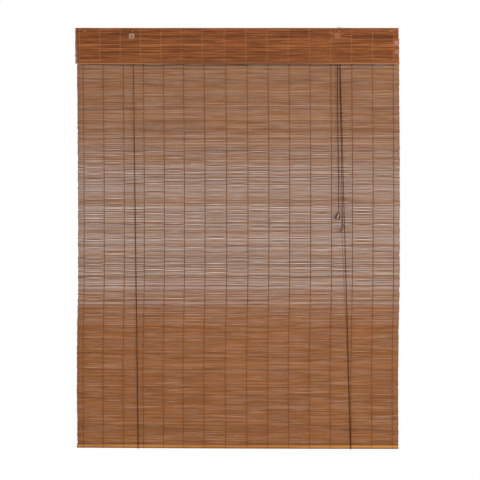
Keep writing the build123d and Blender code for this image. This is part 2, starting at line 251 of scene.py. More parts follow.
floor_material, maker = new_material("pale_floor")
rays = maker.node("ShaderNodeLightPath")
paint = maker.node("ShaderNodeBsdfDiffuse", None, {"Color": floor_grey})
glow = maker.node("ShaderNodeEmission", None, {"Color": (1, 1, 1, 1), "Strength": 1.0})
seen = rays.math("MAXIMUM", rays.other("Is Glossy Ray"))
distance = maker.node("ShaderNodeVectorMath", {"operation": "LENGTH"}, {0: maker.own_place()}, "Value")
white = maker.ramp(distance, *floor_fade, floor_white_share, 1.0)
mixed = maker.node("ShaderNodeMixShader", None, {0: seen * white, 1: paint, 2: glow})
maker.node("ShaderNodeOutputMaterial", None, {"Surface": mixed})
floor.data.materials.append(floor_material)
print("floor at", floor_height, "m")

# %% Soft lights
blind_middle = Vector((0.01, 0.0, -0.75))


def soft_light(name, place, side, power):
    data = bpy.data.lights.new(name, "AREA")
    data.shape = "SQUARE"
    data.size = side
    data.energy = power
    lamp = new_object(name, data)
    lamp.location = place
    lamp.rotation_euler = (blind_middle - Vector(place)).to_track_quat("-Z", "Y").to_euler()
    print(name, "light,", power, "W from", place)


soft_light("key", (2.3, -3.1, 0.5), side=1.1, power=91.0)
soft_light("fill", (-2.6, -3.4, 0.1), side=2.8, power=49.0)
soft_light("rear", (0.8, 3.2, 1.0), side=2.2, power=55.0)


# %% [markdown]
# Geometry Nodes do what repeats. A tree has named inputs for its sizes. It is run once on an object, and what it
# draws is kept as a plain mesh that rides on the frame like any other.


# %% Trees and how they are run
def new_tree(name, floats, ints=()):
    tree = bpy.data.node_groups.new(name, "GeometryNodeTree")
    titles = {
        "Geometry": "Geometry", **dict.fromkeys(floats, "Float"), **dict.fromkeys(ints, "Int"),
        "Material": "Material",
    }
    for title, kind in titles.items():
        tree.interface.new_socket(title, in_out="INPUT", socket_type="NodeSocket" + kind)
    tree.interface.new_socket("Geometry", in_out="OUTPUT", socket_type="NodeSocketGeometry")
    maker = Maker(tree)
    first = maker.node("NodeGroupInput")
    return maker, {title: first.other(title) for title in titles}


def end_tree(maker, geometry, material):
    real = maker.node("GeometryNodeRealizeInstances", None, {0: geometry})
    smooth = maker.node("GeometryNodeSetShadeSmooth", None, {0: real})
    painted = maker.node("GeometryNodeSetMaterial", None, {"Geometry": smooth, "Material": material})
    maker.node("NodeGroupOutput", None, {0: painted})
    print("tree", maker.tree.name)
    return maker.tree


def grow(tree, base, name, **values):
    modifier = base.modifiers.new("grow", "NODES")
    modifier.node_group = tree
    identifiers = {
        item.name: item.identifier for item in tree.interface.items_tree if item.in_out == "INPUT"
    }
    for title, value in values.items():
        modifier[identifiers[title]] = value
    depsgraph = bpy.context.evaluated_depsgraph_get()
    mesh = bpy.data.meshes.new_from_object(
        base.evaluated_get(depsgraph), preserve_all_data_layers=True, depsgraph=depsgraph,
    )
    mesh.name = name
    bpy.data.objects.remove(base)
    print(name, "has", sum(len(face.vertices) - 2 for face in mesh.polygons), "triangles")
    return new_object(name, mesh)


# %% [markdown]
# The real blind doesn't hang quite true. The left end of its bottom bar is a few millimetres high, and the mat
# above it follows. The mat strays a little to the right halfway down and narrows towards its foot, and the rows of
# thread in its left half lie up to eleven millimetres off an even spacing, as the photograph shows. Three small
# rules say so, and everything that hangs uses them: Python for the cords and the bar, nodes for the rest.

# %% How the blind hangs
foot_middle, foot_half = 0.0095, 0.5945
foot_slope, foot_bow = -0.0023, 0.001
hang_top, hang_foot = -0.95, -1.5094


def hang(x):
    t = (x - foot_middle) / foot_half
    return foot_slope * t + foot_bow * t * t


def hang_nodes(maker, x, z):
    t = (x - foot_middle) / foot_half
    share = maker.ramp(z, hang_top, hang_foot)
    return (t * foot_slope + t * t * foot_bow) * share


# Thread rows are counted from 0 at the left. Up to row 5 they fall behind, and then they catch up in two runs.
rows_behind = (0.0, 5.0, 0.0, 0.0108)
rows_catch_up = (6.0, 7.5, 0.0, 0.0054), (7.5, 13.0, 0.0, 0.0054)


def uneven_nodes(maker, x, first, pitch):
    number = (x - first) / pitch
    behind = maker.ramp(number, *rows_behind, "LINEAR")
    soon, late = (maker.ramp(number, *run, "LINEAR") for run in rows_catch_up)
    return soon + late - behind


# From one height to another, how far the mat goes to the right, back to the left, and right again
mat_out, mat_back, mat_out_again = (-0.05, -0.55, 0.0034), (-0.84, -1.24, 0.0054), (-1.28, -1.46, 0.0012)
narrow_foot, narrow_share = -1.5, 0.004


def sway_nodes(maker, x, z):
    out, back, again = (
        maker.ramp(z, top, foot, 0.0, reach) for top, foot, reach in (mat_out, mat_back, mat_out_again)
    )
    narrowing = maker.ramp(z, 0.0, narrow_foot, 0.0, narrow_share, "LINEAR")
    return out - back + again - (x - foot_middle) * narrowing


def laid(maker, given, x, y, z, height):
    """Where a point of a straight and even blind lies in this one; the height is that of its reed or thread."""
    true_x = x + uneven_nodes(maker, x, given["Thread first"], given["Thread pitch"])
    true_x = true_x + sway_nodes(maker, x, height) * given["Sway"]
    return maker.vector(true_x, y, z + hang_nodes(maker, x, height))


print("foot at the left end:", round(hang(foot_middle - foot_half) * 1000, 1), "mm")


# %% [markdown]
# Materials. Colours are written as they look on a screen, 0 to 255, and turned into the light that a shader
# works with. The colours of split bamboo vary from reed to reed and along each reed, so its shader reads the
# number that each reed carries, and stretches its noise along the reed.


# %% Colours
def tone(red, green, blue):
    def light(value):
        share = value / 255
        return share / 12.92 if share <= 0.04045 else ((share + 0.055) / 1.055) ** 2.4

    return (light(red), light(green), light(blue), 1.0)


def finish_material(maker, colour, roughness, height, depth=0.0002, metallic=0.0, specular=0.5):
    bump = maker.node("ShaderNodeBump", None, {"Strength": 0.6, "Distance": depth, "Height": height})
    surface = maker.node("ShaderNodeBsdfPrincipled", None, {
        "Base Color": colour, "Roughness": roughness, "Metallic": metallic, "Specular IOR Level": specular,
        "Normal": bump,
    })
    maker.node("ShaderNodeOutputMaterial", None, {"Surface": surface})


fine = 4.0, 0.6  # detail and roughness of a fine grain
grain_range = 0.3, 0.7


def streaks(maker, along, across, detail=2.0, roughness=0.5):
    """Noise with one scale along X and another across."""
    scaled = maker.node("ShaderNodeMapping", None, {
        "Vector": maker.own_place(), "Scale": (along, across, across),
    })
    return maker.noise(scaled, detail, roughness)


def blend_colour(maker, share, first, second):
    return maker.node("ShaderNodeMix", {"data_type": "RGBA"}, {0: share, 6: first, 7: second}, 2)


# %% Split bamboo
blind_middle_x = (cad_low.x + cad_high.x) / 2
# The first of these greys is painted light: the grey of the light that shows through the gaps of the mat.
backlight_grey, cut_stain, bare_bamboo = tone(116, 130, 126), tone(176, 84, 34), tone(190, 156, 140)
own_weight, bay_weight, along_weight, fibre_weight = 0.4, 0.12, 1.6, 0.6
tone_stops = 0.08, 0.5, 0.92
joint_spacing, joint_share, joint_stain = 0.31, 0.006, 0.5
reed_end, end_fade, bare_fade = 0.576, 0.010, 0.014
bare_rows_at = (-0.030, -0.014), (-0.062, -0.050)
# Heights over which that painted light rises into the open band and falls off above it.
backlight_rise, backlight_fall = (-1.08, -0.84), (-0.52, -0.24)


def inside(value, low, high):
    return (value > low) * (value < high)


def bamboo(name, dark, middle, light, contrast, end_stain, backlight_top=0.0, backlight_band=0.0, pale_end=0.0):
    """Stained reeds with dark joints and cut ends, painted grey light through the weave at the top and in the
    band, two rows worn pale.
    """
    material, maker = new_material(name)
    reed = maker.carried("reed")
    bay = maker.carried("bay").math("FLOOR")
    x, y, z = maker.parts(maker.own_place())
    own = maker.chance(reed, seed=3.0) - 0.5
    in_bay = maker.chance(reed, bay, seed=7.0) - 0.5
    along = maker.noise(maker.vector(x * 8.0, reed * 7.31, 0.0), detail=3.0) - 0.5
    fibre = maker.noise(maker.vector(x * 25.0, y * 2500.0, z * 2500.0))
    mixed = own * own_weight + in_bay * bay_weight + along * along_weight + (fibre - 0.5) * fibre_weight
    colour = maker.node("ShaderNodeValToRGB", {
        "stops": list(zip(tone_stops, (dark, middle, light))),
    }, {0: 0.5 + mixed * contrast})
    from_joint = (x / joint_spacing + maker.chance(reed, seed=11.0)) % 1.0
    colour = blend_colour(maker, (from_joint < joint_share) * joint_stain, colour, dark)
    from_middle = (x - blind_middle_x).math("ABSOLUTE")
    cut_end = maker.ramp(from_middle, reed_end, reed_end + end_fade) * maker.chance(reed, seed=13.0)
    colour = blend_colour(maker, cut_end * end_stain, colour, cut_stain)
    bare_rows = inside(z, *bare_rows_at[0]) + inside(z, *bare_rows_at[1])
    bare_end = maker.ramp(x - blind_middle_x + along * 0.02, reed_end, reed_end + bare_fade)
    bare = bare_rows * (maker.chance(reed, seed=17.0) + 0.3) * bare_end * pale_end
    colour = blend_colour(maker, bare, colour, bare_bamboo)
    # Painted light: the top of the mat and its open band are mixed towards grey, for the light that shows through
    # the gaps between the reeds.
    rise = maker.ramp(z, *backlight_rise, 0.0, backlight_band)
    fall = maker.ramp(z, *backlight_fall, 0.0, backlight_band - backlight_top)
    colour = blend_colour(maker, rise - fall, colour, backlight_grey)
    finish_material(maker, colour, 0.5 + fibre * 0.25, fibre + along * 0.5, specular=0.2)
    return material


# %% The three stains
# The mat's painted light through the weave takes a share of 0.09 at the top and 0.17 in the open band.
mat_bamboo = bamboo(
    "stained_bamboo_mat", tone(99, 58, 30), tone(142, 90, 50), tone(177, 119, 72), 0.6,
    end_stain=0.1, backlight_top=0.09, backlight_band=0.17,
)
valance_bamboo = bamboo(
    "stained_bamboo_valance", tone(79, 40, 18), tone(129, 73, 37), tone(171, 105, 56), 0.9,
    end_stain=0.55, pale_end=0.6,
)
rear_bamboo = bamboo(
    "shaded_bamboo_valance", tone(84, 66, 58), tone(146, 124, 112), tone(204, 186, 174), 1.1,
    end_stain=0.1,
)


# %% Planed bamboo and wood
def planed_wood(name, dark, light, grain, roughness, depth=0.0001, specular=0.3):
    material, maker = new_material(name)
    lines = streaks(maker, grain, grain * 22, *fine)
    broad = streaks(maker, 1.5, 12.0)
    share = maker.ramp(lines * 0.7 + broad * 0.3, *grain_range)
    colour = blend_colour(maker, share, dark, light)
    finish_material(maker, colour, roughness + lines * 0.2, lines, depth, specular=specular)
    return material


rail_wood = planed_wood("rail_pine", tone(150, 104, 62), tone(186, 140, 92), 8.0, 0.5)
bell_wood = planed_wood("lacquered_beech", tone(74, 32, 18), tone(114, 62, 38), 60.0, 0.12, 0.00005, 0.7)


# %% Golden laths
# Where the foot band turns from its middle tone to its end tone, how far up it reaches, and from where the top
# edge is darkened with painted shade.
foot_band_turns = 0.12, 0.42
foot_band_top = 0.34, 0.16
shaded_top_from = 0.72, 0.95


def golden_lath(name, foot, top, foot_band, body, edge):
    """Planed bamboo, with a band of another tone along its foot that changes towards the ends, and a painted shade
    line along its top edge. On the valance's lath the golden ends of that foot band are a painted highlight.
    """
    material, maker = new_material(name)
    x, _, z = maker.parts(maker.own_place())
    lines = streaks(maker, 9.0, 420.0, *fine)
    broad = streaks(maker, 3.0, 60.0)
    light = maker.ramp(lines * 0.6 + broad * 0.4, *grain_range)
    colour = blend_colour(maker, light, *body)
    rise = (z - hang_nodes(maker, x, z) - foot) / (top - foot)
    from_middle = (x - blind_middle_x).math("ABSOLUTE") + (broad - 0.5) * 0.3
    foot_band_tone = blend_colour(maker, maker.ramp(from_middle, *foot_band_turns), *foot_band)
    # Along the foot: darker on the bar, and golden towards the ends of the valance's lath, where it is a painted
    # highlight.
    colour = blend_colour(maker, maker.ramp(rise, *foot_band_top), colour, foot_band_tone)
    # Painted shade along the top edge.
    colour = blend_colour(maker, maker.ramp(rise, *shaded_top_from), colour, edge)
    finish_material(maker, colour, 0.35 + lines * 0.2, lines, 0.0001, specular=0.3)
    return material


(bar_low, bar_high), (lath_low, lath_high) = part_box("bottom_bar"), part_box("valance_lath")
# The bar is darker along its foot and, as painted shade, along its top edge.
bar_golden = golden_lath(
    "golden_bamboo_bar", bar_low.z, bar_high.z,
    (tone(120, 66, 28), tone(128, 74, 32)), (tone(150, 90, 36), tone(200, 136, 62)), tone(126, 72, 30),
)
# The lath's foot, brown in the middle and golden at the ends, is a painted edge highlight; its darker top edge is
# painted shade.
lath_golden = golden_lath(
    "golden_bamboo_lath", lath_low.z, lath_high.z,
    (tone(114, 64, 32), tone(172, 110, 52)), (tone(94, 48, 18), tone(128, 70, 30)), tone(112, 58, 24),
)


# %% Thread and cord
def twisted(name, dark, light, roughness, specular=0.2):
    material, maker = new_material(name)
    crest = maker.carried("crest")
    fuzz = streaks(maker, 900.0, 900.0, 3.0)
    # Painted shade: a cord is lighter on the crests of its strands and darker in the grooves between them; a
    # thread gets a random tone from the same value.
    colour = blend_colour(maker, crest * 0.7 + fuzz * 0.3, dark, light)
    finish_material(maker, colour, roughness + fuzz * 0.15, fuzz, specular=specular)
    return material


mat_thread_cotton = twisted("brown_cotton", tone(72, 34, 16), tone(128, 70, 36), 0.8)
valance_thread_cotton = twisted("pale_cotton", tone(150, 106, 76), tone(204, 158, 122), 0.8)
cord_cotton = twisted("dark_cord", tone(58, 22, 6), tone(108, 48, 18), 0.75, 0.05)


# %% Metal and nylon
def plain_metal(name, colour, second, metallic, roughness, scale):
    material, maker = new_material(name)
    spots = streaks(maker, scale, scale, *fine)
    brushed = streaks(maker, scale * 12, scale)
    shade = blend_colour(maker, maker.ramp(spots, 0.35, 0.7), colour, second)
    finish_material(maker, shade, roughness + spots * 0.15, brushed, 0.00004, metallic)
    return material


plate_metal = plain_metal("painted_plate", tone(148, 108, 82), tone(128, 92, 68), 0.0, 0.45, 120.0)
nail_metal = plain_metal("painted_nail", tone(214, 174, 150), tone(184, 140, 116), 0.0, 0.5, 300.0)
steel = plain_metal("zinc_plated_steel", tone(196, 196, 192), tone(150, 150, 148), 1.0, 0.28, 160.0)
cam_metal = plain_metal("dark_cast_metal", tone(120, 118, 114), tone(84, 82, 80), 1.0, 0.4, 200.0)
nylon = plain_metal("white_nylon", tone(226, 222, 210), tone(208, 202, 188), 0.0, 0.4, 90.0)

# %% [markdown]
# Cords. A cord is a NURBS curve whose control points are those of its real route: down behind the mat from its
# staple, under the bottom bar and up in front. A point a few diameters from each corner keeps the long runs
# straight. Geometry Nodes then draw three twisted strands along that curve: the profile has three lobes, and the
# curve's tilt turns them round as the cord runs on.

# %% Cord tree
cord_radius = 0.0012
cord_lay = 0.009
cord_step = 0.00125
crest_share = 0.25


def circle(maker, sides, radius):
    return maker.node("GeometryNodeCurvePrimitiveCircle", None, {"Resolution": sides, "Radius": radius})


def store(maker, geometry, name, value):
    return maker.node("GeometryNodeStoreNamedAttribute", None, {
        "Geometry": geometry, "Name": name, "Value": value,
    })


def move(maker, geometry, position):
    return maker.node("GeometryNodeSetPosition", None, {"Geometry": geometry, "Position": position})


def sweep(maker, curve, profile):
    return maker.node(
        "GeometryNodeCurveToMesh", None, {"Curve": curve, "Profile Curve": profile, "Fill Caps": True},
    )


maker, given = new_tree("twisted_cord", ["Radius", "Lay", "Step"])
spaced = maker.node(
    "GeometryNodeResampleCurve", {"mode": "LENGTH"}, {"Curve": given["Geometry"], "Length": given["Step"]},
)
run = maker.node("GeometryNodeSplineParameter", None, None, "Length")
tilted = maker.node(
    "GeometryNodeSetCurveTilt", None, {"Curve": spaced, "Tilt": run / given["Lay"] * math.tau},
)
crest = (maker.node("GeometryNodeInputIndex") % 3.0) < 0.5
position = maker.node("GeometryNodeInputPosition")
lobed = move(maker, circle(maker, 9, given["Radius"]), maker.node(
    "ShaderNodeVectorMath", {"operation": "SCALE"}, {0: position, "Scale": 1.0 + crest * crest_share},
))
# The crests are stored for the shader, which paints shade into the grooves between the strands.
rope = sweep(maker, tilted, store(maker, lobed, "crest", crest))
cord_tree = end_tree(maker, rope, given["Material"])


# %% Routes
def route_curve(name, points):
    data = bpy.data.curves.new(name, "CURVE")
    data.dimensions = "3D"
    data.resolution_u = 48
    spline = data.splines.new("NURBS")
    spline.points.add(len(points) - 1)
    for knot, place in zip(spline.points, points):
        knot.co = (*place, 1.0)
    spline.order_u = 3
    spline.use_endpoint_u = True
    return new_object(name, data)


def line_of(points):
    curve = route_curve("route", points)
    depsgraph = bpy.context.evaluated_depsgraph_get()
    mesh = bpy.data.meshes.new_from_object(curve.evaluated_get(depsgraph))
    line = [vertex.co.copy() for vertex in mesh.vertices]
    bpy.data.meshes.remove(mesh)
    bpy.data.objects.remove(curve)
    return line


def twisted_piece(name, points, radius=cord_radius, step=cord_step):
    return grow(
        cord_tree, route_curve(name + "_grower", points), name,
        Radius=radius, Lay=cord_lay, Step=step, Material=cord_cotton,
    )


def cord_piece(name, points):
    line = line_of(points)
    length = sum((b - a).length for a, b in zip(line, line[1:]))
    print(name, "is", round(length, 4), "m long")
    return twisted_piece(name, points), line


# %% Lift cords
corner_run = 0.0144
loop_rear, loop_front = -0.0026, -0.0107
loop_bottom = -1.5268
wheel_y, sheave_y = -0.020, -0.0148
wheel_left, wheel_z = -0.3777, -0.0258
wheel_top = -0.0198
sheave_right, sheave_left, sheave_z = 0.387, 0.378, -0.0243
anchor_z = -0.0049
left_anchor_x, left_bar_x = -0.3835, -0.3594
right_anchor_x, right_bar_x = 0.3668, 0.428
left_top, right_top = (wheel_left, wheel_y, wheel_z), (sheave_right, sheave_y, sheave_z)


def loop_points(anchor_x, bar_x, top):
    low = loop_bottom + hang(bar_x)
    return [
        (anchor_x, loop_rear, anchor_z),
        (bar_x, loop_rear, low + corner_run),
        (bar_x, loop_rear, low),
        (bar_x, loop_front, low),
        (bar_x, loop_front, low + corner_run),
        top,
    ]


left_loop, left_loop_line = cord_piece("left_lift_cord", loop_points(left_anchor_x, left_bar_x, left_top))
right_loop, right_loop_line = cord_piece("right_lift_cord", loop_points(right_anchor_x, right_bar_x, right_top))

# %% Pull cords
short_bell_top = Vector((0.3838, -0.022, -0.6465))
long_bell_top = Vector((0.3979, -0.029, -0.6928))
in_bell = 0.008

left_pull, left_pull_line = cord_piece("left_pull_line", [
    left_top,
    (wheel_left, wheel_y, wheel_top),
    (wheel_left + corner_run, wheel_y, wheel_top),
    (sheave_right - corner_run, wheel_y, wheel_top),
    (sheave_right, wheel_y, wheel_top),
    (sheave_right, wheel_y, wheel_top - corner_run),
    (*long_bell_top.xy, long_bell_top.z - in_bell),
])
right_pull, right_pull_line = cord_piece("right_pull_line", [
    right_top,
    (sheave_right, sheave_y, wheel_top),
    (sheave_left, sheave_y, wheel_top),
    (sheave_left, sheave_y, wheel_top - corner_run),
    (*short_bell_top.xy, short_bell_top.z - in_bell),
])


# %% [markdown]
# Reeds. One reed is drawn as a five sided stick of unit size, flat behind where it was split and round in
# front. Geometry Nodes lay it in rows: each row gets its own height and its own gap to the next, and a running
# sum of both says where it lies, so that the rows always fill the mat exactly. Then each reed is bowed a little
# between the threads, which open and close the gaps from bay to bay, as the photograph shows.

# %% One reed
reed_stations = 61
reed_section = [(0.5, -0.4), (0.5, 0.4), (-0.12, 0.5), (-0.5, 0.0), (-0.12, -0.5)]


def skin(grid, rings, all_round=False):
    """Walls from each ring to the next, with a cap on both ends unless the last ring meets the first."""
    for one, two in zip(rings, rings[1:] + rings[:1] if all_round else rings[1:]):
        for n, corner in enumerate(one):
            m = (n + 1) % len(one)
            grid.faces.new((corner, one[m], two[m], two[n]))
    if not all_round:
        grid.faces.new(rings[0])
        grid.faces.new(rings[-1])
    bmesh.ops.recalc_face_normals(grid, faces=grid.faces)


def reed_stick(name):
    grid = bmesh.new()
    skin(grid, [
        [grid.verts.new((n / (reed_stations - 1), y, z)) for y, z in reed_section]
        for n in range(reed_stations)
    ])
    return mesh_object(name, grid)


# %% Rows of reeds
PLACE_FLOATS = ["Middle Y", "Thread first", "Thread pitch", "Sway"]
ROW_FLOATS = [
    *PLACE_FLOATS, "Top", "Drop", "Seed", "Gap at top", "Gap in band", "Gap at foot",
    "Band top", "Band foot", "Band fade",
]
ROW_INTS = ["Rows", "First row", "Last row"]


def read(maker, name):
    return maker.node("GeometryNodeInputNamedAttribute", None, {"Name": name})


def sampled(maker, geometry, name, number):
    return maker.node("GeometryNodeSampleIndex", None, {
        "Geometry": geometry, "Value": read(maker, name), "Index": number,
    })


def in_groups(maker, size):
    """The row that a point belongs to, and its place in the row, where a row has so many points."""
    index = maker.node("GeometryNodeInputIndex")
    row = (index / size + 0.001).math("FLOOR")
    return row, index - row * size


def rows_asked_for(maker, given, geometry, row, spare=0.0):
    outside = (row < given["First row"] - 0.5).math("MAXIMUM", row > given["Last row"] - 0.5)
    return maker.node("GeometryNodeDeleteGeometry", None, {
        "Geometry": geometry, "Selection": outside.math("MAXIMUM", spare),
    })


# %% Heights and gaps of the rows
height_least, height_more = 0.8, 0.4
even_least, even_more = 0.35, 1.3
rare_least, rare_more, rare_power = 0.4, 3.0, 4.0


def row_nodes(maker, given):
    """Points, one a row, that carry row_z, row_height and openness.

    In the open band the gaps are much alike. Elsewhere most are small and a few are wide.
    """
    rows = maker.node("GeometryNodeMeshLine", None, {"Count": given["Rows"]})
    index = maker.node("GeometryNodeInputIndex")
    depth = given["Top"] - given["Drop"] * ((index + 0.5) / given["Rows"])
    fade = given["Band fade"]
    opening = maker.ramp(depth, given["Band top"] + fade, given["Band top"] - fade)
    closing = maker.ramp(depth, given["Band foot"] + fade, given["Band foot"] - fade)
    openness = opening * (1.0 - closing)
    tight = maker.ramp(
        depth, given["Top"], given["Top"] - given["Drop"], given["Gap at top"], given["Gap at foot"], "LINEAR",
    )
    share = tight * (1.0 - openness) + given["Gap in band"] * openness
    height = height_least + maker.chance(index, seed=given["Seed"]) * height_more
    draw = maker.chance(index, seed=given["Seed"] + 1.0)
    even = even_least + draw * even_more
    rare = rare_least + draw ** rare_power * rare_more
    gap = share * (even * openness + rare * (1.0 - openness))
    step = height + gap
    sums = maker.node("GeometryNodeAccumulateField", None, {"Value": step}, "Trailing")
    scale = given["Drop"] / sums.other("Total")
    rows = store(maker, rows, "row_z", given["Top"] - (sums + height * 0.5) * scale)
    rows = store(maker, rows, "row_height", height * scale)
    return store(maker, rows, "openness", openness)


# %% Reed tree
def copies(maker, points, piece):
    placed = maker.node("GeometryNodeInstanceOnPoints", None, {"Points": points, "Instance": piece})
    return maker.node("GeometryNodeRealizeInstances", None, {0: placed})


seed_step = 1000.0
short_first, short_every, short_share = 7.0, 9.3, 0.95
swell_least, swell_more = 0.88, 0.24
lean_most, ripple_most = 0.0003, 0.0008

maker, given = new_tree("reeds", [
    *ROW_FLOATS, "Left end", "Right end", "Thickness", "Bow", "Band bow", "Arch", "Ragged", "Edge wander",
    "Left drift", "Short end", "Hole half spacing", "Hole radius",
], ROW_INTS)
rows = row_nodes(maker, given)
sections = maker.node(
    "GeometryNodeMeshLine", None, {"Count": given["Rows"] * 3.0, "Offset": (0, 0, 0)},
)
row, section = in_groups(maker, 3.0)
for name in ("row_z", "row_height", "openness"):
    sections = store(maker, sections, name, sampled(maker, rows, name, row))
sections = store(maker, sections, "reed", row + given["Seed"] * seed_step)
sections = store(maker, sections, "section", section)

row_z, part, reed_number = (read(maker, name) for name in ("row_z", "section", "reed"))
hole_radius = given["Hole radius"]
half_gap = read(maker, "row_height") * 0.5 + hole_radius
cut = (row_z.math("ABSOLUTE") < half_gap) * (hole_radius > 0.0)
kept = rows_asked_for(maker, given, sections, row, (part > 0.5) * (1.0 - cut))
print("rows and their cut parts:", len(maker.tree.nodes), "nodes")


# %% Where each reed begins and ends
def reed_end_nodes(side, ragged_seed, wander_seed):
    ragged = (maker.chance(reed_number, seed=ragged_seed) - 0.5) * given["Ragged"]
    wander = (maker.noise(maker.vector(row_z * 7.0, wander_seed, 0.0)) - 0.5) * given["Edge wander"]
    return given[side + " end"] + ragged + wander


row_number = reed_number - given["Seed"] * seed_step
drift = given["Left drift"] * (1.0 - row_number / given["Rows"])
short = (((row_number - short_first) % short_every) < short_share) * given["Short end"]
left = reed_end_nodes("Left", 21.0, 4.0) + drift + short
right = reed_end_nodes("Right", 22.0, 9.0)
cut_left, cut_right = given["Hole half spacing"] * -1.0, given["Hole half spacing"]
second, third = inside(part, 0.5, 1.5), part > 1.5
start = left + second * (cut_left + hole_radius - left) + third * (cut_right + hole_radius - left)
first_end = right + cut * (cut_left - hole_radius - right)
finish = first_end + second * (cut_right - hole_radius - first_end) + third * (right - first_end)
kept = store(maker, store(maker, kept, "from_x", start), "to_x", finish)
real = copies(maker, kept, given["Geometry"])
print("with both ends:", len(maker.tree.nodes), "nodes")

# %% How each reed lies
px, py, pz = maker.parts(maker.node("GeometryNodeInputPosition"))
x = read(maker, "from_x") + px * (read(maker, "to_x") - read(maker, "from_x"))
bay_place = (x - given["Thread first"]) / given["Thread pitch"]
bay = bay_place.math("FLOOR")
hump = ((bay_place - bay) * math.pi).math("SINE")
reach = given["Bow"] + (given["Band bow"] - given["Bow"]) * read(maker, "openness")
draw = maker.chance(reed_number, bay, seed=31.0) * 2.0 - 1.0
bow = draw * draw * draw * hump * reach
swell = swell_least + maker.noise(maker.vector(x * 9.0, reed_number * 3.7, 2.0)) * swell_more
lean = (maker.chance(reed_number, seed=41.0) - 0.5) * lean_most
ripple = (maker.noise(maker.vector(x * 14.0, reed_number * 5.3, 5.0), detail=1.0) - 0.5) * ripple_most
z = row_z + pz * read(maker, "row_height") * swell + bow
arch = (px * math.pi).math("SINE") * given["Arch"]
y = given["Middle Y"] + py * given["Thickness"] * swell + lean + ripple - arch
real = store(maker, real, "bay", bay_place)
reed_tree = end_tree(maker, move(maker, real, laid(maker, given, x, y, z, row_z)), given["Material"])

# %% Laying reeds
hole_half_spacing = 0.3825
PLAIN_REED = dict.fromkeys((
    "Bow", "Band bow", "Arch", "Ragged", "Edge wander", "Left drift", "Short end", "Hole radius",
), 0.0)


def lay_reeds(name, material, **values):
    return grow(reed_tree, reed_stick(name + "_stick"), name, **{
        **PLAIN_REED, "Hole half spacing": hole_half_spacing, "Material": material, **values,
    })


# %% Mat
mat_low, mat_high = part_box("reed_mat")
mat_rows = 418
foot_rows = 6
half_rows, foot_first = mat_rows // 2, mat_rows - foot_rows
left_of_box, right_of_box = 0.0028, 0.0012
mat_values = {
    "Rows": mat_rows, "Top": mat_high.z, "Drop": mat_high.z - bar_high.z, "Seed": 1.0,
    "Gap at top": 0.03, "Gap in band": 0.125, "Gap at foot": 0.006,
    "Band top": -0.45, "Band foot": -0.965, "Band fade": 0.12,
    "Thread first": -0.5645, "Thread pitch": 0.0767, "Sway": 1.0, "Middle Y": (mat_low.y + mat_high.y) / 2,
}
*hung_reeds, foot_reeds = [
    lay_reeds(name, mat_bamboo, **mat_values, **{
        "First row": first_row, "Last row": last_row,
        "Left end": mat_low.x - left_of_box, "Right end": mat_high.x + right_of_box, "Thickness": 0.0019,
        "Bow": 0.0002, "Band bow": 0.0007, "Ragged": 0.0025, "Edge wander": 0.004,
    })
    for name, first_row, last_row in (
        ("mat_upper_reeds", 0, half_rows), ("mat_lower_reeds", half_rows, foot_first),
        ("mat_foot_reeds", foot_first, mat_rows),
    )
]

# %% [markdown]
# The valance is two layers of the same weave, closer and without an open band. The front one leaves the two screw
# holes free, its left end slants and some of its reeds start further in. Of the rear one only the edges show.

# %% Valance
valance_values = {
    **dict.fromkeys(("Gap at top", "Gap in band", "Gap at foot", "Band fade"), 0.01),
    "Band top": -1.0, "Band foot": -1.1, "Thread first": -0.577, "Thread pitch": 0.0776, "Sway": 0.0,
    "First row": 0,
}
left_proud, below_lath = 0.002, 0.0005


def layer_values(node_name, rows, foot, seed):
    low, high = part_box(node_name)
    return {
        **valance_values, "Rows": rows, "Last row": rows, "Top": high.z, "Drop": high.z - foot, "Seed": seed,
        "Middle Y": (low.y + high.y) / 2,
    }


def valance_layer(node_name, material, values, **own):
    low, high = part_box(node_name)
    return lay_reeds(node_name + "_reeds", material, **values, **own, **{
        "Left end": low.x - left_proud, "Right end": high.x, "Thickness": 0.0021,
        "Bow": 0.0002, "Band bow": 0.0002, "Ragged": 0.0015, "Edge wander": 0.001,
    })


front_values = layer_values("valance_front_layer", 38, lath_high.z, 9.0)
rear_values = layer_values("valance_rear_layer", 41, lath_low.z + below_lath, 6.0)
front_layer = valance_layer("valance_front_layer", valance_bamboo, front_values, **{
    "Left drift": -0.005, "Short end": 0.0035, "Hole radius": 0.0032,
})
rear_layer = valance_layer("valance_rear_layer", rear_bamboo, rear_values)

# %% [markdown]
# Three reeds of the front layer cross the right plate. They are drawn by themselves, arched over it between two
# threads, with the same tree.

# %% Reeds that cross the right plate
cover_bay = 12
cover_thickness = 0.0018
clear_of_thread, clear_of_plate = 0.001, 0.0002
cover_rows = {"one": (0.0140, 0.0044), "two": (0.0064, 0.0042), "three": (-0.0016, 0.0056)}
valance_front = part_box("valance_front_layer")[0].y
plate_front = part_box("fixing_plate_right")[0].y
valance_pitch = valance_values["Thread pitch"]
cover_left = valance_values["Thread first"] + cover_bay * valance_pitch + clear_of_thread
cover_pieces = [
    lay_reeds("plate_reed_" + name, valance_bamboo, **valance_values, **{
        "Rows": 1, "Last row": 1, "Top": top, "Drop": height, "Seed": 7.0 + top,
        "Left end": cover_left, "Right end": cover_left + valance_pitch - 2 * clear_of_thread,
        "Middle Y": valance_front - cover_thickness / 2, "Thickness": cover_thickness,
        "Arch": valance_front - plate_front + clear_of_plate,
    })
    for name, (top, height) in cover_rows.items()
]

# %% [markdown]
# Threads. Each row of thread is two strands that pass the reeds on opposite sides and change over in every gap.
# The strand is a line with two points a reed, one on the reed and one in the gap, at the heights that the same
# row rule gives, so that it always fits the reeds. A thin tube follows it, and an instance of it hangs at each of
# the sixteen places.

